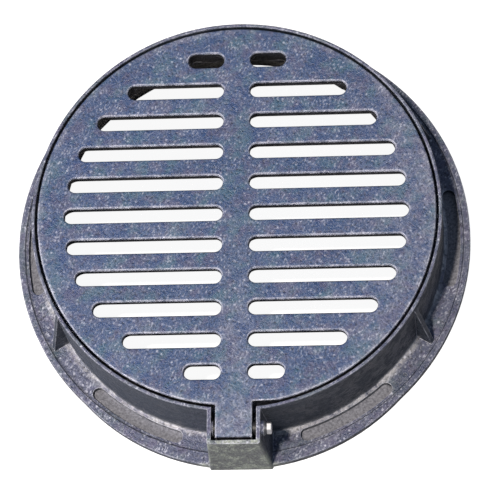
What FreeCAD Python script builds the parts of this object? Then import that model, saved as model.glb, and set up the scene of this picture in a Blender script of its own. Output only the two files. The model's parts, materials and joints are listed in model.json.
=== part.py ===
import FreeCAD, Part
import math
import os

# Hinged slotted manhole cover with its frame, in millimetres.
# Z is up. The origin is on the axis of the round opening, in the plane of the frame's base.
# The hinge is at -Y, and the cover opens by turning about an axis along X.

# ---- overall sizes ----
CLEAR_OPENING = 610.0      # diameter left free inside the seat
SEAT_OVERLAP = 33.0        # how far the cover's edge lies outside the clear opening
FRAME_H = 160.0            # base of the flange to the road surface
FLANGE_T = 12.0            # thickness of the flange's floor

# ---- frame ring ----
RIM_GAP = 4.5              # between the cover's edge and the rim
RIM_WALL = 5.5             # wall at the road surface
FOOT_WALL = 8.0            # wall at the flange
WALL_DRAFT = 1.0           # how much the wall leans in from the road surface to the flange
LIP_H = 3.0                # raised edge round the flange
LIP_W = 10.0
LEDGE_T = 20.0             # seat ledge, at its inner edge
FOOT_FILLET = 4.0          # between the wall and the flange
EDGE_BREAK = 1.2           # small chamfer on the cast edges at the road surface
EDGE_TAPER = 2.0           # how much the cover's edge leans in toward its seat face

# ---- anchor slots and gussets ----
ANCHOR_COUNT = 6
ANCHOR_SLOT_W = 22.0
ANCHOR_SPAN = 24.5         # degrees between the centres of a slot's two round ends
ANCHOR_TO_WALL = 6.5       # iron left between the wall's foot and a slot
ANCHOR_TO_EDGE = 17.0      # iron left outside a slot, with the raised edge
GUSSET_T = 8.0
GUSSET_NOSE = 4.0          # a gusset's height at its outer end
GUSSET_END_GAP = 3.5       # from a gusset's outer end to the foot of the raised edge
GUSSET_DROP = 10.0         # top of a gusset below the road surface

# ---- seat ----
SEAT_DEPTH = 32.0          # road surface to the cover's seat face
SPIGOT_DEPTH = 6.0         # how far the cover's body reaches below its seat face
SPIGOT_GAP = 3.0
GASKET_W = 12.0
GASKET_H = 6.0
GASKET_PROUD = 2.5         # how far the ring stands out of its groove
GROOVE_CLEARANCE = 0.3

# ---- slots of the grate ----
SLOT_W = 26.0
SLOT_PITCH = 56.0
WEB_W = 44.8               # solid strip along the middle, between the two columns of slots
EDGE_LAND = 45.6           # from the cover's edge to the circle that the slots' ends lie on
SLOT_LAND = 12.0           # straight part of a slot before it widens
SLOT_FLARE = 9.0           # how much a slot widens on each side below that
SLOT_BREAK = 1.3
MIDRIB_STEP = 2.4          # the midrib is this much narrower on each side than the web above it
MIDRIB_H = 18.0            # below the bars
MIDRIB_END_GAP = 38.0      # from the midrib's end to the latch's pivot
SLOT_FIELD_WALL = 6.0      # iron left between the widened slots and the spigot

# ---- hinge ----
HINGE_OUT = 26.0           # hinge axis beyond the rim's outer face
HINGE_DROP = 16.0          # hinge axis below the road surface
EAR_SHIFT = 40.0           # the flange's swell is an arc about a point this far toward the hinge
STOP_RATIO = 1.5           # drops from the axis to the pocket's end, where the open cover comes to rest
TONGUE_W = 61.0
TONGUE_TIP = 19.0          # from the hinge axis to the tongue's tip
TONGUE_TIP_R = 4.0
TONGUE_LIFT = 3.0          # underside of the tongue's neck above the seat face
TONGUE_NECK_OUT = 2.0      # flat underside of the neck beyond the cover's edge
POCKET_SWING_GAP = 0.8     # left at the pocket's end as the tip swings past
POCKET_SIDE_GAP = 7.0
POCKET_UNDER_GAP = 17.0    # room for dirt below the tongue
POCKET_WALL = 6.5
POCKET_FLOOR = 8.0
BOX_FLARE = 10.0           # how much wider each side is at the base than at the road surface
BOX_CORNER_R = 4.0
BOSS_MARGIN = 1.0          # boss beyond the washer's edge
BOSS_PROUD = 4.5           # head side, beyond the box's side wall at the height of the bolt
TAPPED_BOSS_IN = 3.0       # thread side, inside the pocket
DRAIN_R = 8.0
RELIEF_W = 44.0            # flat beside the tongue where the cover's edge is eased
RELIEF_DEPTH = 5.5

# ---- hinge bolt set, M12, tapped into the box's -X wall ----
BOLT_R = 6.0
BOLT_FRAME_CLEARANCE = 0.5
BOLT_TONGUE_CLEARANCE = 0.09
BOLT_END_INSET = 1.0       # the thread's end inside the box's side wall
BOLT_POINT = 1.0           # chamfer at the thread's end
THREAD_CLEARANCE = 0.05
HEX_CROWN = 1.2            # corners eased off at the end of the head
WASHER_T = 2.5
WASHER_CLEARANCE = 0.5
LOCK_WASHER_T = 2.5
LOCK_WASHER_WALL = 3.7
LOCK_WASHER_CLEARANCE = 0.2
LOCK_WASHER_SLIT = 1.2
SPACER_WALL = 5.2
SPACER_CLEARANCE = 0.3

# ---- latch under the far edge ----
PIVOT_IN = 17.0            # pivot inside the clear opening's edge
PIVOT_RISE = 6.0           # pivot above the seat face
PAWL_T = 14.0
PAWL_SIDE_GAP = 0.4
PAWL_BOSS_R = 9.0
PAWL_HOOK = 8.0            # how far the nose reaches under the ledge
PAWL_UNDER_GAP = 2.8       # drop from the ledge's sloping underside to the nose
PAWL_NOSE_H = 6.7
PAWL_NOSE_CHAMFER = 10.0
PAWL_HEEL_H = 10.0
PAWL_HEEL_DROP = 2.0       # top of the heel below the pivot
PAWL_HEEL_GAP = 0.3
LATCH_WALL_GAP = 3.0       # between the pawl's boss and the wall of its pocket
LATCH_BACK_GAP = 5.0       # behind the boss, for the pawl to swing into
LATCH_ROOF_GAP = 3.0
PIVOT_PIN_R = 4.0
PIVOT_PIN_WALL = 1.5
PIVOT_PIN_SLIT = 1.0
PIVOT_PIN_CLEARANCE = 0.08
PIVOT_PIN_INSET = 2.5      # each end of the pin inside the web
LATCH_SPRING_R = 3.8
LATCH_SPRING_WIRE_R = 0.7
LATCH_SPRING_PITCH = 4.25
SPRING_SOCKET_R = 5.4
SPRING_SOCKET_DEPTH = 5.0
SPRING_SPIGOT_R = 2.7
SPRING_SPIGOT_L = 5.0

# ---- places worked out from the sizes above ----
TOP_Z = FRAME_H
LEDGE_R = CLEAR_OPENING / 2
COVER_R = LEDGE_R + SEAT_OVERLAP
RIM_IN_R = COVER_R + RIM_GAP
RIM_OUT_R = RIM_IN_R + RIM_WALL
FOOT_OUT_R = RIM_OUT_R - WALL_DRAFT
FOOT_IN_R = FOOT_OUT_R - FOOT_WALL
ANCHOR_R = FOOT_OUT_R + ANCHOR_TO_WALL + ANCHOR_SLOT_W / 2
FLANGE_R = ANCHOR_R + ANCHOR_SLOT_W / 2 + ANCHOR_TO_EDGE
LIP_FOOT_R = FLANGE_R - LIP_W - LIP_H
SEAT_Z = TOP_Z - SEAT_DEPTH
LEDGE_Z = SEAT_Z - GASKET_PROUD
LEDGE_UNDER_Z = LEDGE_Z - LEDGE_T
LEDGE_ROOT_Z = LEDGE_UNDER_Z - (FOOT_IN_R - LEDGE_R)
GASKET_MID_R = (LEDGE_R + COVER_R) / 2
GROOVE_Z = SEAT_Z - GASKET_H
SPIGOT_R = LEDGE_R - SPIGOT_GAP
BAR_BOTTOM_Z = SEAT_Z - SPIGOT_DEPTH
SLOT_FIELD_R = COVER_R - EDGE_LAND
AXIS_Y = -(RIM_OUT_R + HINGE_OUT)
AXIS_Z = TOP_Z - HINGE_DROP
TIP_Y = AXIS_Y - TONGUE_TIP
TIP_SWING_R = math.hypot(TONGUE_TIP - TONGUE_TIP_R, HINGE_DROP - TONGUE_TIP_R) + TONGUE_TIP_R
POCKET_END_Y = AXIS_Y - max(TIP_SWING_R + POCKET_SWING_GAP, STOP_RATIO * HINGE_DROP)
POCKET_HALF = TONGUE_W / 2 + POCKET_SIDE_GAP
POCKET_Z = AXIS_Z - TONGUE_TIP - POCKET_UNDER_GAP
BOLT_HEAD_AF = 3.0 * BOLT_R
BOLT_HEAD_H = 1.25 * BOLT_R
WASHER_R = 2.0 * BOLT_R
BOSS_R = WASHER_R + BOSS_MARGIN
LOCK_WASHER_R = BOLT_R + LOCK_WASHER_CLEARANCE + LOCK_WASHER_WALL
SPACER_R = BOLT_R + SPACER_CLEARANCE + SPACER_WALL
BOX_FRONT_Y = POCKET_END_Y - POCKET_WALL
EAR_R = -BOX_FRONT_Y - EAR_SHIFT
BOX_TOP_HALF = POCKET_HALF + POCKET_WALL
BOX_BASE_HALF = BOX_TOP_HALF + BOX_FLARE
BOX_SIDE_X = BOX_TOP_HALF + BOX_FLARE * HINGE_DROP / FRAME_H
BOSS_X = BOX_SIDE_X + BOSS_PROUD
PIVOT_Y = LEDGE_R - PIVOT_IN
PIVOT_Z = SEAT_Z + PIVOT_RISE
LATCH_WALL_Y = PIVOT_Y + PAWL_BOSS_R + LATCH_WALL_GAP
WEB_BOTTOM_HALF = WEB_W / 2 - SLOT_FLARE
FLARE_TOP_Z = TOP_Z - SLOT_LAND
PIVOT_WEB_HALF = WEB_W / 2 - SLOT_FLARE * (FLARE_TOP_Z - PIVOT_Z) / (FLARE_TOP_Z - BAR_BOTTOM_Z)
MIDRIB_HALF = WEB_BOTTOM_HALF - MIDRIB_STEP
MIDRIB_END_Y = PIVOT_Y - MIDRIB_END_GAP
LATCH_SPRING_Z = BAR_BOTTOM_Z - MIDRIB_H / 2
HINGE_ANGLE = 270.0        # the hinge's side, in degrees round from +X
CLOSE = 0.01               # two places nearer than this are the same
PAST = 1.0                 # how far a cutting shape runs past the face that it opens

UP = FreeCAD.Vector(0, 0, 1)
ALONG_X = FreeCAD.Vector(1, 0, 0)
ALONG_Y = FreeCAD.Vector(0, 1, 0)
CENTRE = FreeCAD.Vector(0, 0, 0)
BELOW_BASE = FreeCAD.Vector(0, 0, -PAST)


def face_from(points):
    """A flat face with straight edges through the points, in order."""
    return Part.Face(Part.makePolygon(points + [points[0]]))


def turned(profile):
    """A solid of revolution about the Z axis from (radius, height) points."""
    face = face_from([FreeCAD.Vector(r, 0, z) for r, z in profile])
    return face.revolve(CENTRE, UP, 360)


def across(profile, x_from, x_to):
    """A prism along X from (y, z) points."""
    face = face_from([FreeCAD.Vector(x_from, y, z) for y, z in profile])
    return face.extrude(FreeCAD.Vector(x_to - x_from, 0, 0))


def along_y(profile, y_from, y_to):
    """A prism along Y from (x, z) points."""
    face = face_from([FreeCAD.Vector(x, y_from, z) for x, z in profile])
    return face.extrude(FreeCAD.Vector(0, y_to - y_from, 0))


def rod_x(radius, x_from, x_to, y, z):
    """A round bar along X."""
    return Part.makeCylinder(radius, x_to - x_from, FreeCAD.Vector(x_from, y, z), ALONG_X)


def block(x_from, x_to, y_from, y_to, z_from, z_to):
    """A box from its two corners."""
    corner = FreeCAD.Vector(x_from, y_from, z_from)
    return Part.makeBox(x_to - x_from, y_to - y_from, z_to - z_from, corner)


def hexagon_x(across_flats, x_from, x_to, y, z, crown):
    """A hexagonal bar along X with its corners rounded off by a cone at its x_to end."""
    corner_r = across_flats / math.sqrt(3)
    angles = [math.radians(60 * i) for i in range(6)]
    outline = [(y + corner_r * math.cos(a), z + corner_r * math.sin(a)) for a in angles]
    body = across(outline, x_from, x_to)
    length = abs(x_to - x_from)
    way = FreeCAD.Vector(math.copysign(1, x_to - x_from), 0, 0)
    start = FreeCAD.Vector(x_from, y, z)
    barrel = Part.makeCylinder(corner_r, length - crown, start, way)
    crown_start = start + way * (length - crown)
    cone = Part.makeCone(corner_r, (across_flats - crown) / 2, crown, crown_start, way)
    return body.common(barrel.fuse(cone))


def anchor_slot(angle):
    """The cutting shape for one curved slot through the flange, centred on an angle in degrees."""
    low_r = ANCHOR_R - ANCHOR_SLOT_W / 2
    high_r = ANCHOR_R + ANCHOR_SLOT_W / 2
    top = FLANGE_T + PAST
    corners = [(low_r, -PAST), (high_r, -PAST), (high_r, top), (low_r, top)]
    face = face_from([FreeCAD.Vector(r, 0, z) for r, z in corners])
    face.rotate(CENTRE, UP, angle - ANCHOR_SPAN / 2)
    cutter = face.revolve(CENTRE, UP, ANCHOR_SPAN)
    for end in (-1, 1):
        a = math.radians(angle + end * ANCHOR_SPAN / 2)
        place = FreeCAD.Vector(ANCHOR_R * math.cos(a), ANCHOR_R * math.sin(a), -PAST)
        cutter = cutter.fuse(Part.makeCylinder(ANCHOR_SLOT_W / 2, top + PAST, place))
    return cutter


def gusset(angle):
    """A triangular stiffener between the wall and the flange."""
    inside = FOOT_IN_R + FOOT_WALL / 2
    top = TOP_Z - GUSSET_DROP
    outer = LIP_FOOT_R - GUSSET_END_GAP
    lean = RIM_OUT_R - WALL_DRAFT * GUSSET_DROP / (TOP_Z - FLANGE_T)
    edge = [
        (inside, FLANGE_T / 2),
        (outer, FLANGE_T / 2),
        (outer, FLANGE_T + GUSSET_NOSE),
        (lean, top),
        (inside, top),
    ]
    face = face_from([FreeCAD.Vector(r, -GUSSET_T / 2, z) for r, z in edge])
    plate = face.extrude(FreeCAD.Vector(0, GUSSET_T, 0))
    plate.rotate(CENTRE, UP, angle)
    return plate


def hinge_ear():
    """The flange's swell toward the hinge, which brings its edge out to the hinge box's front."""
    edge_top = FLANGE_T + LIP_H
    swell = turned([
        (0, 0),
        (EAR_R - EDGE_BREAK, 0),
        (EAR_R, EDGE_BREAK),
        (EAR_R, edge_top - EDGE_BREAK),
        (EAR_R - EDGE_BREAK, edge_top),
        (0, edge_top),
    ])
    swell.translate(FreeCAD.Vector(0, -EAR_SHIFT, 0))
    inside_edge = Part.makeCylinder(LIP_FOOT_R + LIP_H, edge_top + 2 * PAST, BELOW_BASE)
    return swell.cut(inside_edge)


def hinge_box_outside():
    """The block that stands against the ring and carries the hinge, wider at its base."""
    outline = [
        (-BOX_BASE_HALF, 0),
        (BOX_BASE_HALF, 0),
        (BOX_TOP_HALF, TOP_Z),
        (-BOX_TOP_HALF, TOP_Z),
    ]
    box = along_y(outline, BOX_FRONT_Y, -FOOT_IN_R)
    corners = []
    for edge in box.Edges:
        mid = edge.CenterOfMass
        if abs(mid.y - BOX_FRONT_Y) < CLOSE and abs(mid.z - TOP_Z / 2) < CLOSE:
            corners.append(edge)
    within_wall = Part.makeCylinder(RIM_IN_R + RIM_WALL / 4, TOP_Z + 2 * PAST, BELOW_BASE)
    return box.makeFillet(BOX_CORNER_R, corners).cut(within_wall)


def hinge_box_hollows():
    """The pocket for the tongue, the cored space below its floor and the drain."""
    ring_inside = Part.makeCylinder(RIM_IN_R, TOP_Z + 2 * PAST, BELOW_BASE)
    ring_outside = Part.makeCylinder(RIM_OUT_R, TOP_Z + 2 * PAST, BELOW_BASE)
    inner_y = -math.sqrt(FOOT_IN_R ** 2 - BOX_BASE_HALF ** 2)
    pocket = block(-POCKET_HALF, POCKET_HALF, POCKET_END_Y, inner_y, POCKET_Z, TOP_Z + PAST)
    pocket = pocket.cut(ring_inside)
    floor_z = POCKET_Z - POCKET_FLOOR
    base_half = BOX_BASE_HALF - POCKET_WALL
    core_half = base_half - BOX_FLARE * floor_z / FRAME_H
    outline = [(-base_half, -PAST), (base_half, -PAST), (core_half, floor_z), (-core_half, floor_z)]
    core = along_y(outline, POCKET_END_Y, inner_y).cut(ring_outside)
    drain_y = (POCKET_END_Y - RIM_OUT_R) / 2
    drain_place = FreeCAD.Vector(0, drain_y, floor_z - PAST)
    drain = Part.makeCylinder(DRAIN_R, POCKET_FLOOR + 2 * PAST, drain_place)
    return [pocket, core, drain]


def make_frame():
    """The frame casting: ring, seat ledge, flange with anchor slots, gussets and hinge box."""
    groove_half = GASKET_W / 2 + GROOVE_CLEARANCE
    fillet_mid = FOOT_FILLET * (1 - math.sqrt(1 / 2))
    profile = [
        (FOOT_IN_R, 0),
        (FLANGE_R - EDGE_BREAK, 0),
        (FLANGE_R, EDGE_BREAK),
        (FLANGE_R, FLANGE_T + LIP_H - EDGE_BREAK),
        (FLANGE_R - EDGE_BREAK, FLANGE_T + LIP_H),
        (LIP_FOOT_R + LIP_H, FLANGE_T + LIP_H),
        (LIP_FOOT_R, FLANGE_T),
        (FOOT_OUT_R + FOOT_FILLET, FLANGE_T),
        (FOOT_OUT_R + fillet_mid, FLANGE_T + fillet_mid),
        (FOOT_OUT_R, FLANGE_T + FOOT_FILLET),
        (RIM_OUT_R, TOP_Z - EDGE_BREAK),
        (RIM_OUT_R - EDGE_BREAK, TOP_Z),
        (RIM_IN_R + EDGE_BREAK, TOP_Z),
        (RIM_IN_R, TOP_Z - EDGE_BREAK),
        (RIM_IN_R, LEDGE_Z),
        (GASKET_MID_R + groove_half, LEDGE_Z),
        (GASKET_MID_R + groove_half, GROOVE_Z),
        (GASKET_MID_R - groove_half, GROOVE_Z),
        (GASKET_MID_R - groove_half, LEDGE_Z),
        (LEDGE_R, LEDGE_Z),
        (LEDGE_R, LEDGE_UNDER_Z),
        (FOOT_IN_R, LEDGE_ROOT_Z),
    ]
    ring = turned(profile)
    step = 360 / ANCHOR_COUNT
    ring = ring.cut([anchor_slot(i * step) for i in range(ANCHOR_COUNT)])
    between = [i * step + step / 2 for i in range(ANCHOR_COUNT)]
    away_from_hinge = [a for a in between if abs(a - HINGE_ANGLE) > step / 4]
    head_boss = rod_x(BOSS_R, POCKET_HALF, BOSS_X, AXIS_Y, AXIS_Z)
    solid = ring.fuse([gusset(a) for a in away_from_hinge] + [hinge_ear(), hinge_box_outside(), head_boss])
    solid = solid.cut(hinge_box_hollows())
    within_side = -(POCKET_HALF + POCKET_WALL / 2)
    tapped_boss = rod_x(BOSS_R, within_side, -(POCKET_HALF - TAPPED_BOSS_IN), AXIS_Y, AXIS_Z)
    clear_hole = rod_x(BOLT_R + BOLT_FRAME_CLEARANCE, 0, BOSS_X + PAST, AXIS_Y, AXIS_Z)
    tapped_hole = rod_x(BOLT_R + THREAD_CLEARANCE, -BOSS_X, 0, AXIS_Y, AXIS_Z)
    return solid.fuse(tapped_boss).cut([clear_hole, tapped_hole]).removeSplitter()


def make_gasket():
    """The elastomer ring that lies in the ledge's groove and carries the cover."""
    low = GASKET_MID_R - GASKET_W / 2
    high = GASKET_MID_R + GASKET_W / 2
    ease = GASKET_PROUD / 2
    return turned([
        (low, GROOVE_Z),
        (high, GROOVE_Z),
        (high, SEAT_Z - ease),
        (high - ease, SEAT_Z),
        (low + ease, SEAT_Z),
        (low, SEAT_Z - ease),
    ])


def slot_shape(profile, x_from, x_to, y):
    """A slot with round ends, from the (half-width, height) outline of its cross-section."""
    mirrored = [(-w, z) for w, z in reversed(profile)]
    run = across([(y + w, z) for w, z in profile + mirrored], x_from, x_to)
    closed = [(0, profile[0][1])] + profile + [(0, profile[-1][1])]
    half = face_from([FreeCAD.Vector(w, 0, z) for w, z in closed])
    ends = []
    for x in (x_from, x_to):
        end = half.revolve(CENTRE, UP, 360)
        end.translate(FreeCAD.Vector(x, y, 0))
        ends.append(end)
    return run.fuse(ends)


def grate_slots():
    """Cutting shapes for all the water slots: straight at the top, wider below so they don't clog."""
    half_w = SLOT_W / 2
    through = [
        (half_w + SLOT_BREAK + PAST, TOP_Z + PAST),
        (half_w, TOP_Z - SLOT_BREAK),
        (half_w, BAR_BOTTOM_Z - PAST),
    ]
    flare = [
        (half_w, FLARE_TOP_Z),
        (half_w + SLOT_FLARE, BAR_BOTTOM_Z),
        (half_w + SLOT_FLARE, BAR_BOTTOM_Z - PAST),
    ]
    field = Part.makeCylinder(SPIGOT_R - SLOT_FIELD_WALL, TOP_Z)
    rows = int(SLOT_FIELD_R / SLOT_PITCH)
    inner = WEB_W / 2 + half_w
    cutters = []
    for row in range(-rows, rows + 1):
        y = row * SLOT_PITCH
        outer = math.sqrt(SLOT_FIELD_R ** 2 - y ** 2) - half_w
        if outer - inner < half_w:
            continue
        for side in (-1, 1):
            x_low, x_high = sorted((side * inner, side * outer))
            cutters.append(slot_shape(through, x_low, x_high, y))
            cutters.append(slot_shape(flare, x_low, x_high, y).common(field))
    return cutters


def tongue():
    """The hinge tongue: flush on top, round about the bolt below, with an eased tip."""
    inside_y = -math.sqrt(COVER_R ** 2 - TONGUE_W ** 2)
    join_y = -(COVER_R + TONGUE_NECK_OUT)
    neck_z = SEAT_Z + TONGUE_LIFT
    bar = across(
        [(TIP_Y, AXIS_Z), (TIP_Y, TOP_Z), (inside_y, TOP_Z), (inside_y, neck_z), (join_y, neck_z),
         (AXIS_Y, AXIS_Z - TONGUE_TIP)],
        -TONGUE_W / 2, TONGUE_W / 2)
    tip_edges = []
    for edge in bar.Edges:
        mid = edge.CenterOfMass
        if abs(mid.y - TIP_Y) < CLOSE and abs(mid.z - TOP_Z) < CLOSE:
            tip_edges.append(edge)
    bar = bar.makeFillet(TONGUE_TIP_R, tip_edges)
    knuckle = rod_x(TONGUE_TIP, -TONGUE_W / 2, TONGUE_W / 2, AXIS_Y, AXIS_Z)
    above = block(-TONGUE_W, TONGUE_W, TIP_Y - PAST, -COVER_R, TOP_Z, TOP_Z + TONGUE_TIP)
    return bar.fuse(knuckle).cut(above)


def make_grate():
    """The cover casting: slotted disc, midrib, hinge tongue and the pocket for the latch."""
    disc = turned([
        (0, BAR_BOTTOM_Z),
        (SPIGOT_R, BAR_BOTTOM_Z),
        (SPIGOT_R, SEAT_Z),
        (COVER_R - EDGE_TAPER, SEAT_Z),
        (COVER_R, TOP_Z - EDGE_BREAK),
        (COVER_R - EDGE_BREAK, TOP_Z),
        (0, TOP_Z),
    ])
    midrib = block(-MIDRIB_HALF, MIDRIB_HALF, -(SPIGOT_R - MIDRIB_HALF), MIDRIB_END_Y,
                   BAR_BOTTOM_Z - MIDRIB_H, BAR_BOTTOM_Z + PAST)
    solid = disc.cut(grate_slots()).fuse([midrib, tongue()])
    root_x = TONGUE_W / 2
    far_x = root_x + RELIEF_W
    far_y = -math.sqrt(COVER_R ** 2 - far_x ** 2)
    root_y = -math.sqrt(COVER_R ** 2 - root_x ** 2) + RELIEF_DEPTH
    outline = [(root_x, root_y), (far_x, far_y), (far_x, -COVER_R - PAST), (root_x, -COVER_R - PAST)]
    relief_face = face_from([FreeCAD.Vector(x, y, SEAT_Z - PAST) for x, y in outline])
    relief = relief_face.extrude(FreeCAD.Vector(0, 0, SEAT_DEPTH + 2 * PAST))
    half = PAWL_T / 2 + PAWL_SIDE_GAP
    back_y = PIVOT_Y - PAWL_BOSS_R - LATCH_BACK_GAP
    roof_z = PIVOT_Z + PAWL_BOSS_R + LATCH_ROOF_GAP
    upper = block(-half, half, back_y, LATCH_WALL_Y, SEAT_Z - PAST, roof_z)
    lower = block(-half, half, back_y, SPIGOT_R + PAST, BAR_BOTTOM_Z - PAST, SEAT_Z)
    pin_hole = rod_x(PIVOT_PIN_R, -WEB_W, WEB_W, PIVOT_Y, PIVOT_Z)
    bolt_hole = rod_x(BOLT_R + BOLT_TONGUE_CLEARANCE, -TONGUE_W, TONGUE_W, AXIS_Y, AXIS_Z)
    place = FreeCAD.Vector(0, MIDRIB_END_Y - SPRING_SOCKET_DEPTH, LATCH_SPRING_Z)
    socket = Part.makeCylinder(SPRING_SOCKET_R, SPRING_SOCKET_DEPTH + PAST, place, ALONG_Y)
    return solid.cut([relief, upper, lower, pin_hole, bolt_hole, socket]).removeSplitter()


def make_bolt():
    """The hinge bolt: its head is on the +X side and its thread ends inside the box's -X wall."""
    grip = BOSS_X + WASHER_T + LOCK_WASHER_T
    tail = -(BOX_SIDE_X - BOLT_END_INSET)
    shank = rod_x(BOLT_R, tail + BOLT_POINT, grip, AXIS_Y, AXIS_Z)
    end = FreeCAD.Vector(tail, AXIS_Y, AXIS_Z)
    point = Part.makeCone(BOLT_R - BOLT_POINT, BOLT_R, BOLT_POINT, end, ALONG_X)
    head = hexagon_x(BOLT_HEAD_AF, grip, grip + BOLT_HEAD_H, AXIS_Y, AXIS_Z, HEX_CROWN)
    return head.fuse([shank, point]).removeSplitter()


def ring_x(outer_r, inner_r, x_from, x_to):
    """A flat ring about the hinge axis."""
    hole = rod_x(inner_r, x_from - PAST, x_to + PAST, AXIS_Y, AXIS_Z)
    return rod_x(outer_r, x_from, x_to, AXIS_Y, AXIS_Z).cut(hole)


def make_washer():
    """The plain washer against the head-side boss."""
    return ring_x(WASHER_R, BOLT_R + WASHER_CLEARANCE, BOSS_X, BOSS_X + WASHER_T)


def make_lock_washer():
    """The split spring washer under the bolt's head, pressed flat."""
    low = BOSS_X + WASHER_T
    high = low + LOCK_WASHER_T
    ring = ring_x(LOCK_WASHER_R, BOLT_R + LOCK_WASHER_CLEARANCE, low, high)
    half = LOCK_WASHER_SLIT / 2
    slit = block(low - PAST, high + PAST, AXIS_Y - half, AXIS_Y + half, AXIS_Z, AXIS_Z + WASHER_R)
    return ring.cut(slit)


def make_spacer(x_inner, x_outer):
    """A polyamide ring that keeps the tongue in the middle of its pocket."""
    side = math.copysign(1, x_outer)
    x_from, x_to = sorted((x_inner + side * SPACER_CLEARANCE, x_outer - side * SPACER_CLEARANCE))
    return ring_x(SPACER_R, BOLT_R + SPACER_CLEARANCE, x_from, x_to)


def make_pawl():
    """The latch pawl: it hangs from its pivot, and its nose reaches under the seat ledge."""
    front = PAWL_BOSS_R
    tip = PIVOT_IN + PAWL_HOOK
    slope = LEDGE_UNDER_Z + LEDGE_R - PAWL_UNDER_GAP - PIVOT_Y - PIVOT_Z
    heel = LATCH_WALL_Y - PIVOT_Y - PAWL_HEEL_GAP
    nose_z = slope - tip
    bottom_z = nose_z - PAWL_NOSE_H - PAWL_NOSE_CHAMFER
    outline = [
        (-PAWL_BOSS_R, 0),
        (-PAWL_BOSS_R, nose_z),
        (-PAWL_BOSS_R / 3, bottom_z),
        (tip - PAWL_NOSE_CHAMFER, bottom_z),
        (tip, nose_z - PAWL_NOSE_H),
        (tip, nose_z),
        (front, slope - front),
        (front, -PAWL_HEEL_DROP - PAWL_HEEL_H),
        (heel, -PAWL_HEEL_DROP - PAWL_HEEL_H),
        (heel, -PAWL_HEEL_DROP),
        (0, -PAWL_HEEL_DROP),
        (0, 0),
    ]
    half = PAWL_T / 2
    body = across([(PIVOT_Y + y, PIVOT_Z + z) for y, z in outline], -half, half)
    boss = rod_x(PAWL_BOSS_R, -half, half, PIVOT_Y, PIVOT_Z)
    bore = rod_x(PIVOT_PIN_R + PIVOT_PIN_CLEARANCE, -half - PAST, half + PAST, PIVOT_Y, PIVOT_Z)
    end = FreeCAD.Vector(0, PIVOT_Y - PAWL_BOSS_R - SPRING_SPIGOT_L, LATCH_SPRING_Z)
    spigot = Part.makeCylinder(SPRING_SPIGOT_R, SPRING_SPIGOT_L + PAST, end, ALONG_Y)
    return body.fuse([boss, spigot]).cut(bore).removeSplitter()


def make_pivot_pin():
    """The slotted spring pin, driven through the web, that the pawl swings on."""
    half = PIVOT_WEB_HALF - PIVOT_PIN_INSET
    slit_half = PIVOT_PIN_SLIT / 2
    tube = rod_x(PIVOT_PIN_R, -half, half, PIVOT_Y, PIVOT_Z)
    bore = rod_x(PIVOT_PIN_R - PIVOT_PIN_WALL, -half - PAST, half + PAST, PIVOT_Y, PIVOT_Z)
    slit = block(-half - PAST, half + PAST, PIVOT_Y - slit_half, PIVOT_Y + slit_half,
                 PIVOT_Z, PIVOT_Z + PIVOT_PIN_R + PAST)
    return tube.cut([bore, slit])


def make_latch_spring():
    """The compression spring between the midrib's end and the pawl's back, its ends ground flat."""
    start = MIDRIB_END_Y - SPRING_SOCKET_DEPTH
    length = PIVOT_Y - PAWL_BOSS_R - start
    helix = Part.makeHelix(LATCH_SPRING_PITCH, length + LATCH_SPRING_PITCH, LATCH_SPRING_R)
    wire = Part.makeCircle(LATCH_SPRING_WIRE_R, FreeCAD.Vector(LATCH_SPRING_R, 0, 0), ALONG_Y)
    coil = Part.Wire(helix).makePipeShell([Part.Wire(wire)], True, True)
    coil.translate(FreeCAD.Vector(0, 0, -LATCH_SPRING_PITCH / 2))
    keep = Part.makeCylinder(LATCH_SPRING_R * 2, length)
    coil = coil.common(keep)
    coil.rotate(CENTRE, ALONG_X, -90)
    coil.translate(FreeCAD.Vector(0, start, LATCH_SPRING_Z))
    return coil


def main():
    """Builds every piece and writes each one to its own file."""
    os.makedirs("parts", exist_ok=True)
    pieces = {
        "frame": make_frame(),
        "seat_gasket": make_gasket(),
        "grate": make_grate(),
        "hinge_bolt": make_bolt(),
        "hinge_washer": make_washer(),
        "hinge_lock_washer": make_lock_washer(),
        "hinge_spacer_left": make_spacer(-TONGUE_W / 2, -(POCKET_HALF - TAPPED_BOSS_IN)),
        "hinge_spacer_right": make_spacer(TONGUE_W / 2, POCKET_HALF),
        "latch_pawl": make_pawl(),
        "latch_pivot_pin": make_pivot_pin(),
        "latch_spring": make_latch_spring(),
    }
    for name, shape in pieces.items():
        shape.exportStep(os.path.join("parts", name + ".step"))
        print(name, "solids", len(shape.Solids), "volume mm3", round(shape.Volume), shape.isValid())


main()
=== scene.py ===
# %% [markdown]
# # A hinged, slotted manhole cover in its frame
# The object is a round ductile iron cover with eleven rows of water slots, held in a flanged iron
# frame by a hinge on one side and a small spring latch under the far edge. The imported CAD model
# already has every shape that carries load, so this lesson mostly gives the iron its paint, dust and
# wear, and models the few small parts that CAD draws plainly: the bolt with its thread and the spring.
# Everything is in metres, in the CAD frame: Z up, the hinge at -Y, the base of the flange at Z = 0.

# %% Load the fixed frame
import bpy
import bmesh
import json
import math
from types import SimpleNamespace
from mathutils import Matrix, Vector


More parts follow.
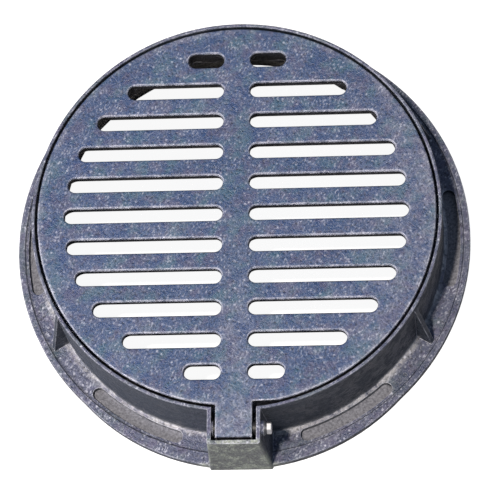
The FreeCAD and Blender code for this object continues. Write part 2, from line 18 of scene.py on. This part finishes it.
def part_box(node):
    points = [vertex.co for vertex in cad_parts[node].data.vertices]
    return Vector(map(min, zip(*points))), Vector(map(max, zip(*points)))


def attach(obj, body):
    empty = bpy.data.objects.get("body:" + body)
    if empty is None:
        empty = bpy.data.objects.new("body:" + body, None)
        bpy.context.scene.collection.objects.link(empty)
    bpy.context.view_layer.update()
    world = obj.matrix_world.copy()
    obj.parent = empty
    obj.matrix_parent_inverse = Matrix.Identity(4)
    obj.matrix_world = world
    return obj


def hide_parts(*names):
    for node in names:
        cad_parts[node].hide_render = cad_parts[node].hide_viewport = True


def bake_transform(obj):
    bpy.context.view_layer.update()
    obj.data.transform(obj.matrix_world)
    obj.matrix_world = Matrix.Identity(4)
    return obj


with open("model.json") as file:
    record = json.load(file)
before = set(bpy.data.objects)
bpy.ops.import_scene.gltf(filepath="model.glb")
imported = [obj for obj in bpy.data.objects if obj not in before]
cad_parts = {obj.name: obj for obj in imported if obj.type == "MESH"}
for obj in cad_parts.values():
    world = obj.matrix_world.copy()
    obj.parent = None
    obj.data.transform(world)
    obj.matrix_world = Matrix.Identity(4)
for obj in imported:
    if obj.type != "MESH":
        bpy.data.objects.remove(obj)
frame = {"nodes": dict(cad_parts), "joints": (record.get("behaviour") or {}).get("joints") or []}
NODES = frame["nodes"]
JOINTS = {j["name"]: j for j in frame["joints"]}
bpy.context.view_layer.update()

# %% [markdown]
# ## Camera
# A long lens from five metres keeps the circles nearly true ellipses, as a phone held high over the
# cover does. The camera stands over the hinge side, a little to the right, and is rolled so that the
# hinge points down and slightly right. It could be aimed with a Track To constraint, but the
# roll and the small offset of the aim are easier to read as three plain directions.

# %% Camera
COVER_TOP = Vector((0.0, 0.0, 0.160))      # middle of the cover's top face
LENS = 216.0                               # mm, on the default 36 mm sensor
DISTANCE = 5.062                           # m from the camera to the middle of the cover
AZIMUTH = math.radians(14.0)               # round from the hinge side toward +X
ELEVATION = math.radians(69.68)
ROLL = math.radians(-14.40)
AIM_RIGHT, AIM_DOWN = 0.0048, 0.0124       # where the lens points beside the cover's middle, per metre away

back = Vector((math.sin(AZIMUTH) * math.cos(ELEVATION),
               -math.cos(AZIMUTH) * math.cos(ELEVATION), math.sin(ELEVATION)))
level_right = (-back).cross(Vector((0, 0, 1))).normalized()
level_up = level_right.cross(-back)
right = math.cos(ROLL) * level_right + math.sin(ROLL) * level_up
up = -math.sin(ROLL) * level_right + math.cos(ROLL) * level_up
to_cover = (-back - AIM_RIGHT * right + AIM_DOWN * up).normalized()

camera = bpy.data.objects.new("camera", bpy.data.cameras.new("camera"))
camera.data.lens = LENS
camera.data.clip_end = 50.0
camera.matrix_world = Matrix.Translation(COVER_TOP - DISTANCE * to_cover) @ Matrix(
    (right, up, back)).transposed().to_4x4()
bpy.context.scene.collection.objects.link(camera)
bpy.context.scene.camera = camera
bpy.context.scene.view_settings.view_transform = "Standard"
print("camera at", [round(c, 3) for c in camera.matrix_world.translation])

# %% [markdown]
# ## Colours and nodes
# Paint colours are easiest to compare as sRGB hex values, but shaders work in linear light, so one
# function turns the first into the second. A second small function adds any node to a tree: its
# settings are attributes of the node, and its inputs are plain values or another node's output, given
# in the node's own order or by name. It hands back the output in use, ready for the next node. Ramps
# are Map Range nodes: after the value come where the ramp starts and ends, and what it gives at each,
# which is 0 and 1 where nothing is said.

# %% Two helpers for every material
def linear(code):
    """A linear RGBA colour from an sRGB hex value such as "#48556e"."""
    parts = [int(code[i:i + 2], 16) / 255 for i in (1, 3, 5)]
    return [p / 12.92 if p <= 0.04045 else ((p + 0.055) / 1.055) ** 2.4 for p in parts] + [1.0]


def add(tree, kind, inputs=(), output=None, **settings):
    """Adds a node with its settings, fills its inputs, and returns the named or first used output."""
    node = tree.nodes.new(kind)
    for name, value in settings.items():
        setattr(node, name, value)
    used = [socket for socket in node.inputs if socket.enabled]
    pairs = inputs.items() if isinstance(inputs, dict) else enumerate(inputs)
    for name, value in pairs:
        socket = node.inputs[name] if isinstance(name, str) else used[name]
        if isinstance(value, bpy.types.NodeSocket):
            tree.links.new(value, socket)
        else:
            socket.default_value = value
    if output:
        return node.outputs[output]
    return next((socket for socket in node.outputs if socket.enabled), node)


def new_material(name):
    """An empty node material and its tree."""
    material = bpy.data.materials.new(name)
    material.use_nodes = True
    material.node_tree.nodes.clear()
    return material, material.node_tree


print("mid grey in linear light:", round(linear("#808080")[0], 3))

# %% [markdown]
# ## Floor and light
# The floor is one pale matt disc. A cover is mostly slots, and what shows through them is the floor in
# the cover's own shade, so the board glows strongly, to the camera only, and stays white there. The
# price is that the floor shows next to no shadow. The frame stands on a thin bed of grey mortar, as on
# site, and that is what its anchor slots show. It needs no shape of its own: a ring in the floor's
# colour, hidden under the flange, does it.

# %% Floor
FLOOR_RADIUS = 14.0
FLOOR_SEGMENTS = 96
FLOOR_GLOW = 0.93
MORTAR_INNER_R, MORTAR_OUTER_R = 0.345, 0.389    # m, under the flange
SAND_SCALE = 220.0                               # grains per metre of mortar
SAND_LOW, SAND_HIGH = 0.35, 0.68                 # noise that gives the darkest and the palest grain
bm = bmesh.new()
bmesh.ops.create_circle(bm, cap_ends=True, segments=FLOOR_SEGMENTS, radius=FLOOR_RADIUS)
floor_mesh = bpy.data.meshes.new("floor")
bm.to_mesh(floor_mesh)
bm.free()
floor = bpy.data.objects.new("floor", floor_mesh)
bpy.context.scene.collection.objects.link(floor)

pale_board, tree = new_material("pale_studio_board")
place = add(tree, "ShaderNodeTexCoord", output="Object")
radius = add(tree, "ShaderNodeVectorMath", (place,), operation="LENGTH")
inside = add(tree, "ShaderNodeMath", (radius, MORTAR_OUTER_R), operation="LESS_THAN")
outside = add(tree, "ShaderNodeMath", (radius, MORTAR_INNER_R), operation="GREATER_THAN")
bed = add(tree, "ShaderNodeMath", (inside, outside), operation="MULTIPLY")
grit = add(tree, "ShaderNodeTexNoise", {
    "Vector": place, "Scale": SAND_SCALE, "Detail": 4.0, "Roughness": 0.7})
sand = add(tree, "ShaderNodeMapRange", (grit, SAND_LOW, SAND_HIGH))
mortar_color = add(tree, "ShaderNodeMix", (sand, linear("#55575f"), linear("#8b8d96")), data_type="RGBA")
mortar = add(tree, "ShaderNodeBsdfDiffuse", (mortar_color,))
board = add(tree, "ShaderNodeBsdfDiffuse", (linear("#8e8e90"),))
glow = add(tree, "ShaderNodeEmission", (linear("#ffffff"), FLOOR_GLOW))
lit_board = add(tree, "ShaderNodeAddShader", (board, glow))
seen = add(tree, "ShaderNodeLightPath", output="Is Camera Ray")
plain = add(tree, "ShaderNodeMixShader", (seen, board, lit_board))
bedded = add(tree, "ShaderNodeMixShader", (bed, plain, mortar))
add(tree, "ShaderNodeOutputMaterial", (bedded,))
floor_mesh.materials.append(pale_board)
print("floor radius", FLOOR_RADIUS, "m")

# %% [markdown]
# ## Light
# One small, far softbox stands almost overhead, on the hinge side and a little left, so the top faces
# are bright and the walls are not. A near one would shine more slantingly on the far side and widen
# the shadows there. A wide, weak one from the left lifts the walls that face it, and a pale blue
# surround fills the shade the way open sky does. A Sun lamp could stand in for the first with almost
# the same shadows, but a softbox's place and size are plain metres.

# %% Lights
SKY_STRENGTH = 0.34


def softbox(name, azimuth, elevation, distance, size, power, tint):
    """A round area lamp that looks at the middle of the cover; angles as for the camera, in degrees."""
    a, e = math.radians(azimuth), math.radians(elevation)
    toward = Vector((math.sin(a) * math.cos(e), -math.cos(a) * math.cos(e), math.sin(e)))
    lamp = bpy.data.lights.new(name, "AREA")
    lamp.shape = "DISK"
    lamp.size = size
    lamp.energy = power
    lamp.color = linear(tint)[:3]
    placed = bpy.data.objects.new(name, lamp)
    aim = toward.to_track_quat("Z", "Y").to_matrix().to_4x4()
    placed.matrix_world = Matrix.Translation(toward * distance) @ aim
    bpy.context.scene.collection.objects.link(placed)
    print(name, power, "W from", [round(c, 2) for c in placed.matrix_world.translation])


softbox("key_softbox", azimuth=-34, elevation=75.5, distance=15.0, size=0.9, power=2750.0, tint="#fff3e6")
softbox("left_softbox", azimuth=-62, elevation=24, distance=5.0, size=1.6, power=285.0, tint="#fbf5f6")

world = bpy.data.worlds.new("pale_surround")
world.use_nodes = True
world.node_tree.nodes.clear()
sky = add(world.node_tree, "ShaderNodeBackground", (linear("#c9dbf8"), SKY_STRENGTH))
add(world.node_tree, "ShaderNodeOutputWorld", (sky,))
bpy.context.scene.world = world

# %% [markdown]
# ## Bitumen paint on cast iron
# Covers and frames are poured in sand moulds from ductile iron and dipped in thin blue-black
# bitumen paint. What the eye sees is the sand grain of the casting under the paint, road dust that
# settles on it, pale scratches and specks, and bare, rubbed iron along every edge that traffic and
# handling reach. The edges on the key light's side get more of that pale colour, as a painted
# highlight, pale glint spots on flat faces are painted highlights, and walls are painted darker than
# tops, as painted shade. An image texture could hold all that, but a stack of noise at real sizes
# works from every side, and edges are found from the shape itself: a Bevel node gives the normal that
# a rounded edge would have, and where it differs from the true one there is an edge.

# %% The iron's patterns
MM = 0.001
NOISE_ROUGHNESS = 0.62
BEVEL_SAMPLES = 8
SCRATCH_MM = 2.2


def grainy(tree, place, size_mm, detail, low, high, stretch=1.0, turn=0.0):
    """Noise of a real size, turned and stretched along its own X, and spread out to run from 0 to 1."""
    spot = add(tree, "ShaderNodeMapping", {
        "Vector": place, "Rotation": (0, 0, turn), "Scale": (stretch, 1, 1)}, vector_type="TEXTURE")
    field = add(tree, "ShaderNodeTexNoise", {
        "Vector": spot, "Scale": 1 / (size_mm * MM), "Detail": detail, "Roughness": NOISE_ROUGHNESS})
    return add(tree, "ShaderNodeMapRange", (field, low, high))


def layer(tree, under, code, *shares):
    """The colour under it, covered by a new one as far as all the shares allow together."""
    share = shares[0]
    for other in shares[1:]:
        share = add(tree, "ShaderNodeMath", (share, other), operation="MULTIPLY", use_clamp=True)
    return add(tree, "ShaderNodeMix", (share, under, linear(code)), data_type="RGBA")


def iron_patterns(tree, look):
    """Where the iron lies flat, where its edges are and which way they lean, and its grain, patches, specks
    and painted glint spots.
    """
    place = add(tree, "ShaderNodeTexCoord", output="Object")
    p = SimpleNamespace(place=place)
    p.x, p.y, p.z = add(tree, "ShaderNodeSeparateXYZ", (place,)).node.outputs
    flat = add(tree, "ShaderNodeCombineXYZ", (p.x, p.y))
    p.radius = add(tree, "ShaderNodeVectorMath", (flat,), operation="LENGTH")
    p.clouds = grainy(tree, place, size_mm=130, detail=4, low=0.36, high=0.66)
    p.patches = grainy(tree, place, size_mm=26, detail=6, low=0.43, high=0.63)
    p.tints = grainy(tree, place, size_mm=21, detail=3, low=0.48, high=0.60)
    p.greens = grainy(tree, place, size_mm=33, detail=3, low=0.50, high=0.64, stretch=1.4, turn=0.8)
    # Painted highlights: small, stretched pale glint spots.
    p.glints = grainy(tree, place, size_mm=3.2, detail=3, low=0.52, high=0.66, stretch=1.8, turn=1.1)
    p.grain = grainy(tree, place, size_mm=look["grain_mm"], detail=4, low=0.32, high=0.70)
    p.crumbs = grainy(tree, place, size_mm=look["crumb_mm"], detail=3, low=0.52, high=0.66)
    both = add(tree, "ShaderNodeMath", (p.patches, p.crumbs), operation="ADD")
    p.rough = add(tree, "ShaderNodeMapRange", (both, 0.1, 1.2, 0.2, 1.0))

    cells = add(tree, "ShaderNodeTexVoronoi", {"Vector": place, "Scale": 1 / (look["speck_mm"] * MM)})
    dot = add(tree, "ShaderNodeMapRange", (cells, 0.34, 0.16))
    lot = add(tree, "ShaderNodeSeparateColor", (cells.node.outputs["Color"],))
    some = add(tree, "ShaderNodeMapRange", (lot, 0.55, 0.75))
    p.specks = add(tree, "ShaderNodeMath", (dot, some), operation="MULTIPLY")

    facing = add(tree, "ShaderNodeNewGeometry", output="True Normal")
    upward = add(tree, "ShaderNodeSeparateXYZ", (facing,), output="Z")
    p.lying = add(tree, "ShaderNodeMapRange", (upward, 0.35, 0.95))
    p.rounded = add(tree, "ShaderNodeBevel", (look["edge_mm"] * MM,), samples=BEVEL_SAMPLES)
    same = add(tree, "ShaderNodeVectorMath", (p.rounded, facing), operation="DOT_PRODUCT")
    edge = add(tree, "ShaderNodeMapRange", (same, 0.992, 0.90))
    # Painted highlight: edges that lean toward -Y, the key light's side, get more of the pale edge colour
    # than those turned away.
    lean = add(tree, "ShaderNodeSeparateXYZ", (p.rounded,), output="Y")
    lit_edge_share = add(tree, "ShaderNodeMapRange", (lean, 0.12, -0.22, look["shaded_edge_share"], 1.0))
    rubbed = add(tree, "ShaderNodeMath", (edge, lit_edge_share), operation="MULTIPLY")
    uneven = add(tree, "ShaderNodeMath", (p.patches, p.grain), operation="ADD")
    kept = add(tree, "ShaderNodeMapRange", (uneven, 0.35, 1.1, look["edge_kept"], 1.0))
    p.worn = add(tree, "ShaderNodeMath", (rubbed, kept), operation="MULTIPLY", use_clamp=True)
    return p


print("a pattern of 4 mm grain has scale", round(1 / (4 * MM)))

# %% [markdown]
# ## Paint, then dirt, then wear
# The colours go on in the order they do on the road: paint with its thick and thin places, a darker
# colour on the walls that is painted shade, dust where the iron lies flat, the few places of its own
# that each casting has, pits, scratches and specks, pale glint spots that are painted highlights, and
# last the rubbed edges, paler on the key light's side (-Y) as a painted highlight. One Mix node per
# coat keeps every coat easy to find and change.

# %% The painted iron
def painted_iron(name, look, own_places):
    """Bitumen-painted cast iron. Sizes in the look are in millimetres, amounts run from 0 to 1."""
    material, tree = new_material(name)
    p = iron_patterns(tree, look)
    scratch_a = grainy(tree, p.place, SCRATCH_MM, detail=1, low=0.71, high=0.76, stretch=45, turn=0.55)
    scratch_b = grainy(tree, p.place, SCRATCH_MM, detail=1, low=0.72, high=0.77, stretch=60, turn=-0.95)
    pits = add(tree, "ShaderNodeMapRange", (p.grain, 0.40, 0.0))
    settled = add(tree, "ShaderNodeMapRange", (p.clouds, 0.0, 1.0, 0.0, look["dusty"]))

    top = layer(tree, linear(look["paint"]), look["deep"], p.clouds, look["mottle"])
    top = layer(tree, top, look["tint"], p.tints, look["tinted"])
    top = layer(tree, top, look["green"], p.greens, look["tinted"])
    # Walls get the side colour, darker than the tops: painted shade.
    color = add(tree, "ShaderNodeMix", (p.lying, linear(look["side"]), top), data_type="RGBA")
    color = layer(tree, color, look["dust"], p.lying, settled, p.rough)
    for code, shares in own_places(tree, p):
        color = layer(tree, color, code, *shares)
    color = layer(tree, color, look["dark"], pits, look["pitted"])
    color = layer(tree, color, look["pale"], scratch_a, look["scratched"])
    color = layer(tree, color, look["pale"], scratch_b, look["scratched"])
    # Painted highlights: pale glint spots on flat faces.
    color = layer(tree, color, look["pale"], p.glints, p.patches, p.lying, look["painted_glint_amount"])
    color = layer(tree, color, look["pale"], p.specks, p.grain, p.lying, look["sparkling"])
    # Pale iron on rubbed edges, and a painted highlight on the edges toward the key light.
    color = layer(tree, color, look["bare_iron_and_highlight"], p.worn, look["edge_worn"])

    roughness = add(tree, "ShaderNodeMapRange", (p.rough, 0.2, 1.0, look["gloss"], 0.80))
    height = add(tree, "ShaderNodeMix", (0.25, p.grain, p.patches))
    bump = add(tree, "ShaderNodeBump", {"Height": height, "Normal": p.rounded, "Strength": 1.0,
                                        "Distance": look["relief_mm"] * MM})
    metal = add(tree, "ShaderNodeMath", (p.worn, look["bare_metal"]), operation="MULTIPLY")
    shader = add(tree, "ShaderNodeBsdfPrincipled", {
        "Base Color": color, "Roughness": roughness, "Normal": bump, "Metallic": metal})
    add(tree, "ShaderNodeOutputMaterial", (shader,))
    return material


print("coats: paint, tints, sides, dust, own places, pits, scratches, glints, specks, rubbed edges")

# %% [markdown]
# ## Where each casting is dirty, and where the frame is painted light
# Noise alone spreads dust evenly, and no real casting looks like that. Each one gets a few places
# of its own, as simple ramps along X, Y, Z or the radius: the cover is dustiest along its middle web,
# on the tongue and toward one edge. The frame's box front, which faces the key light, is painted paler
# and greener as painted light, the corner at the foot of its wall gets pale grit and a painted
# highlight, and the inside below the ledge, in the cover's shade, is painted pale as painted light.

# %% The cover
WEB_EDGE_X, WEB_CORE_X = 0.034, 0.012      # m from the middle: no dust yet, and full dust


def cover_places(tree, p):
    """Dust along the web, on the tongue and toward +X, and a lighter rubbed line near the cover's rim."""
    left = add(tree, "ShaderNodeMapRange", (p.x, -WEB_EDGE_X, -WEB_CORE_X))
    right = add(tree, "ShaderNodeMapRange", (p.x, WEB_EDGE_X, WEB_CORE_X))
    low = add(tree, "ShaderNodeMapRange", (p.y, 0.10, -0.22, 0.0, 0.22))
    tongue = add(tree, "ShaderNodeMapRange", (p.y, -0.300, -0.335, 0.0, 0.08))
    side = add(tree, "ShaderNodeMapRange", (p.x, 0.17, 0.32, 0.0, 0.42))
    rim = add(tree, "ShaderNodeMapRange", (p.radius, 0.326, 0.334, 0.0, 0.30))
    return [("#8d919c", (left, right, low, p.rough, p.lying)),
            ("#8d919c", (tongue, p.rough, p.lying)),
            ("#8d919c", (rim, p.rough, p.lying)),
            ("#7c7b88", (side, p.rough, p.lying))]


# The side colour below is painted shade for the walls.
COVER_LOOK = {
    "paint": "#2b4062", "deep": "#1b3664", "side": "#12151d", "tint": "#434460", "green": "#345466",
    # The pale edge colour is rubbed iron plus a painted highlight on the lit edges.
    "dust": "#5f697c", "dark": "#0a101e", "pale": "#c6cad8", "bare_iron_and_highlight": "#cdcfdb",
    "grain_mm": 5.0, "crumb_mm": 9.0, "speck_mm": 8.0, "edge_mm": 6.0, "relief_mm": 1.5,
    "mottle": 0.85, "tinted": 0.7, "dusty": 0.55, "pitted": 0.75, "scratched": 0.12, "sparkling": 0.5,
    "painted_glint_amount": 0.42, "edge_kept": 0.3, "edge_worn": 0.95, "shaded_edge_share": 0.06, "gloss": 0.34,
    "bare_metal": 0.15}
cover_paint = painted_iron("bitumen_painted_ductile_iron_cover", COVER_LOOK, cover_places)
print("cover paint has", len(cover_paint.node_tree.nodes), "nodes")


# %% The frame
def frame_places(tree, p):
    """Painted light on a paler, greener box front and a pale inside wall; grit and painted highlight at the
    wall's foot.
    """
    # Painted light: the box front faces the key light and is painted paler and greener.
    box_front = add(tree, "ShaderNodeMapRange", (p.y, -0.394, -0.3985, 0.0, 0.9))
    # Pale grit, and a painted highlight along the fillet, in the corner at the foot of the wall.
    low = add(tree, "ShaderNodeMapRange", (p.z, 0.026, 0.013, 0.0, 0.85))
    near = add(tree, "ShaderNodeMapRange", (p.radius, 0.360, 0.350))
    past = add(tree, "ShaderNodeMapRange", (p.radius, 0.343, 0.345))
    # Painted light: the inside wall below the ledge lies in the cover's shade and is painted pale and
    # cloudy.
    within = add(tree, "ShaderNodeMapRange", (p.radius, 0.3440, 0.3420))
    under = add(tree, "ShaderNodeMapRange", (p.z, 0.112, 0.096))
    painted_light_inside = add(tree, "ShaderNodeMapRange", (p.clouds, 0.0, 1.0, 0.65, 0.9))
    # In order: box front painted light, grit with painted highlight at the foot, inside wall painted light.
    return [("#8f968b", (box_front, p.rough)),
            ("#b2b2b4", (low, near, past, p.rough)),
            ("#b9b8b4", (within, under, painted_light_inside))]


# As on the cover, the side colour is painted shade for the walls.
FRAME_LOOK = dict(
    COVER_LOOK, paint="#40475f", deep="#343d5a", side="#2b333f", tint="#4e4c66", green="#44545c",
    # The pale edge colour and its share on the lit side again carry a painted highlight.
    dust="#6d7080", bare_iron_and_highlight="#c0c3ce", dusty=0.6, edge_kept=0.15, edge_worn=0.8, shaded_edge_share=0.55, edge_mm=2.2,
    sparkling=0.9, painted_glint_amount=0.65, mottle=0.6, pitted=0.8)
frame_paint = painted_iron("bitumen_painted_ductile_iron_frame", FRAME_LOOK, frame_places)
print("frame paint has", len(frame_paint.node_tree.nodes), "nodes")


# %% The pawl
def pawl_places(tree, p):
    """Damp dirt on the lower half, where the pawl hangs under the cover."""
    low = add(tree, "ShaderNodeMapRange", (p.z, 0.105, 0.060, 0.0, 0.5))
    return [("#4a4642", (low, p.rough))]


# The pawl's side colour is painted shade as well.
PAWL_LOOK = dict(COVER_LOOK, paint="#3c4048", deep="#30343c", side="#24272c", dusty=0.1, edge_worn=0.5)
pawl_paint = painted_iron("bitumen_painted_iron_pawl", PAWL_LOOK, pawl_places)
print("iron paints:", cover_paint.name, frame_paint.name, pawl_paint.name)

# %% [markdown]
# ## Steel, rubber and polyamide
# The small parts are bought in. The bolt's zinc plating is bright with a fine, slightly uneven satin,
# and the washers' is painted dull grey as shade, since the hinge box shades them. The latch's pin and
# spring are stainless spring steel. Moulded rubber and polyamide are near black, matt, and take on
# dust. All five are one Principled shader with two noises, so one function with a colour, a metallic
# value and a roughness range makes them.

# %% Small parts' finishes
VEIL_START, VEIL_FULL = 0.45, 0.72
SATIN_LOW, SATIN_HIGH = 0.3, 0.7


def plain_finish(name, look):
    """A small part's finish: a base colour that dust veils, with uneven gloss and fine relief."""
    material, tree = new_material(name)
    place = add(tree, "ShaderNodeTexCoord", output="Object")
    fine = add(tree, "ShaderNodeTexNoise", {
        "Vector": place, "Scale": 1 / (look["grain_mm"] * MM), "Detail": 3.0})
    broad = add(tree, "ShaderNodeTexNoise", {
        "Vector": place, "Scale": 1 / (look["patch_mm"] * MM), "Detail": 4.0})
    veil = add(tree, "ShaderNodeMapRange", (broad, VEIL_START, VEIL_FULL, 0.0, look["dusty"]))
    color = layer(tree, linear(look["color"]), look["dust"], veil)
    roughness = add(tree, "ShaderNodeMapRange", (
        fine, SATIN_LOW, SATIN_HIGH, look["smooth"], look["rough"]))
    bump = add(tree, "ShaderNodeBump", {"Height": fine, "Strength": 1.0, "Distance": look["relief_mm"] * MM})
    shader = add(tree, "ShaderNodeBsdfPrincipled", {
        "Base Color": color, "Metallic": look["metallic"], "Roughness": roughness, "Normal": bump})
    add(tree, "ShaderNodeOutputMaterial", (shader,))
    return material


zinc = plain_finish("zinc_plated_steel", {
    "color": "#dcdee0", "dust": "#a29c90", "metallic": 0.9, "smooth": 0.30, "rough": 0.48,
    "grain_mm": 0.8, "patch_mm": 6, "dusty": 0.35, "relief_mm": 0.04})
# Painted shade: the washers' zinc is dark grey because the hinge box shades them.
shade_dark_zinc = plain_finish("shaded_dark_zinc_plated_steel", {
    "color": "#5b5f66", "dust": "#4b4a48", "metallic": 0.6, "smooth": 0.5, "rough": 0.7,
    "grain_mm": 0.8, "patch_mm": 5, "dusty": 0.6, "relief_mm": 0.05})
spring_steel = plain_finish("stainless_spring_steel", {
    "color": "#b4b4b2", "dust": "#77705f", "metallic": 1.0, "smooth": 0.25, "rough": 0.40,
    "grain_mm": 0.5, "patch_mm": 5, "dusty": 0.3, "relief_mm": 0.02})
rubber = plain_finish("moulded_epdm_rubber", {
    "color": "#1d1d1e", "dust": "#5b5852", "metallic": 0.0, "smooth": 0.65, "rough": 0.85,
    "grain_mm": 1.2, "patch_mm": 18, "dusty": 0.4, "relief_mm": 0.08})
polyamide = plain_finish("moulded_polyamide", {
    "color": "#1b1c1f", "dust": "#38363a", "metallic": 0.0, "smooth": 0.45, "rough": 0.60,
    "grain_mm": 1.0, "patch_mm": 10, "dusty": 0.3, "relief_mm": 0.03})

FINISHES = {
    "frame": frame_paint, "grate": cover_paint, "latch_pawl": pawl_paint, "seat_gasket": rubber,
    "hinge_bolt": zinc, "hinge_washer": shade_dark_zinc, "hinge_lock_washer": shade_dark_zinc,
    "hinge_spacer_left": polyamide, "hinge_spacer_right": polyamide,
    "latch_pivot_pin": spring_steel, "latch_spring": spring_steel}
for name, finish in FINISHES.items():
    for slot in NODES[name].material_slots:
        slot.material = finish
print("finishes on", len(FINISHES), "nodes")

# %% [markdown]
# ## The hinge bolt
# The CAD bolt is a plain shank with a head. The real one is an M12 hexagon bolt with a short rolled
# thread at its end, which screws into the tapped far wall of the hinge box, so that no nut shows
# there. A screw thread can come from the Screw modifier or from a texture, but bmesh's spin makes it
# in one call: the zigzag outline of the flanks is swept once round the axis while it climbs by one
# pitch, so each turn meets the next.

# %% Hinge bolt with its thread
PITCH = 1.75 * MM
MAJOR_R, MINOR_R = 6.0 * MM, 4.95 * MM
ACROSS_FLATS, HEAD_HEIGHT = 18.0 * MM, 7.5 * MM
THREAD_LENGTH = 12.0 * MM
TURN_STEPS = 40
SHANK_SEGMENTS = 48
CROWN_BEVEL = 1.0 * MM
CROWN_SEARCH = 0.1 * MM        # an edge this close to the head's end belongs to the crown
THREAD_WELD = 0.02 * MM        # joins each turn of the thread to the next
bolt_low, bolt_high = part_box("hinge_bolt")
bolt_length = bolt_high.x - bolt_low.x
axis = Vector(JOINTS["cover_hinge"]["pos_m"])

bm = bmesh.new()
outline = []
for tooth in range(-1, int(THREAD_LENGTH / PITCH) + 2):
    outline.append(bm.verts.new((MINOR_R, 0, tooth * PITCH)))
    outline.append(bm.verts.new((MAJOR_R, 0, (tooth + 0.5) * PITCH)))
flanks = [bm.edges.new(pair) for pair in zip(outline, outline[1:])]
bmesh.ops.spin(bm, geom=outline + flanks, cent=(0, 0, 0), axis=(0, 0, 1), dvec=(0, 0, PITCH / TURN_STEPS),
               angle=math.tau, steps=TURN_STEPS, use_merge=False, use_duplicate=False)
bmesh.ops.remove_doubles(bm, verts=bm.verts, dist=THREAD_WELD)
for height, side in ((0.0, -1), (THREAD_LENGTH, 1)):
    cut = bmesh.ops.bisect_plane(bm, geom=bm.verts[:] + bm.edges[:] + bm.faces[:], plane_co=(0, 0, height),
                                 plane_no=(0, 0, side), clear_outer=True)
    ends = [e for e in cut["geom_cut"] if isinstance(e, bmesh.types.BMEdge)]
    bmesh.ops.holes_fill(bm, edges=ends)
shank_length = bolt_length - HEAD_HEIGHT - THREAD_LENGTH
bmesh.ops.create_cone(bm, cap_ends=True, segments=SHANK_SEGMENTS, radius1=MAJOR_R, radius2=MAJOR_R,
                      depth=shank_length,
                      matrix=Matrix.Translation((0, 0, THREAD_LENGTH + shank_length / 2)))
head = bmesh.ops.create_cone(bm, cap_ends=True, segments=6, radius1=ACROSS_FLATS / math.sqrt(3),
                             radius2=ACROSS_FLATS / math.sqrt(3), depth=HEAD_HEIGHT,
                             matrix=Matrix.Translation((0, 0, bolt_length - HEAD_HEIGHT / 2)))
crown = [e for e in {e for v in head["verts"] for e in v.link_edges}
         if all(abs(v.co.z - bolt_length) < CROWN_SEARCH for v in e.verts)]
bmesh.ops.bevel(bm, geom=crown, offset=CROWN_BEVEL, segments=2, profile=0.5, affect="EDGES", material=-1)
bmesh.ops.recalc_face_normals(bm, faces=bm.faces)
bmesh.ops.rotate(bm, verts=bm.verts, cent=(0, 0, 0), matrix=Matrix.Rotation(math.radians(90), 3, "Y"))
bmesh.ops.translate(bm, verts=bm.verts, vec=(bolt_low.x, axis.y, axis.z))
bolt_mesh = bpy.data.meshes.new("threaded_hinge_bolt")
bm.to_mesh(bolt_mesh)
bm.free()
bolt = bpy.data.objects.new("threaded_hinge_bolt", bolt_mesh)
bpy.context.scene.collection.objects.link(bolt)
bolt_mesh.materials.append(zinc)
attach(bolt, "frame")
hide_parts("hinge_bolt")
print("bolt length", round(bolt_length / MM, 1), "mm, faces", len(bolt_mesh.polygons))

# %% [markdown]
# ## The latch spring
# The spring sits between the cover and the swinging pawl, so it shortens when the pawl is pushed
# back. A rigid copy would poke through the pawl. The CAD coil has the right shape, so a copy of it is
# merged into one skin and shaded smooth, and the CAD coil is hidden.

# %% Latch spring as one skin
SKIN_WELD = 0.001 * MM         # joins the faces of the CAD coil into one skin
bm = bmesh.new()
bm.from_mesh(NODES["latch_spring"].data)
bmesh.ops.remove_doubles(bm, verts=bm.verts, dist=SKIN_WELD)
coil_mesh = bpy.data.meshes.new("coiled_latch_spring")
bm.to_mesh(coil_mesh)
bm.free()
coil = bpy.data.objects.new("coiled_latch_spring", coil_mesh)
bpy.context.scene.collection.objects.link(coil)
coil_mesh.materials.append(spring_steel)
coil_mesh.shade_smooth()
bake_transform(coil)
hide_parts("latch_spring")
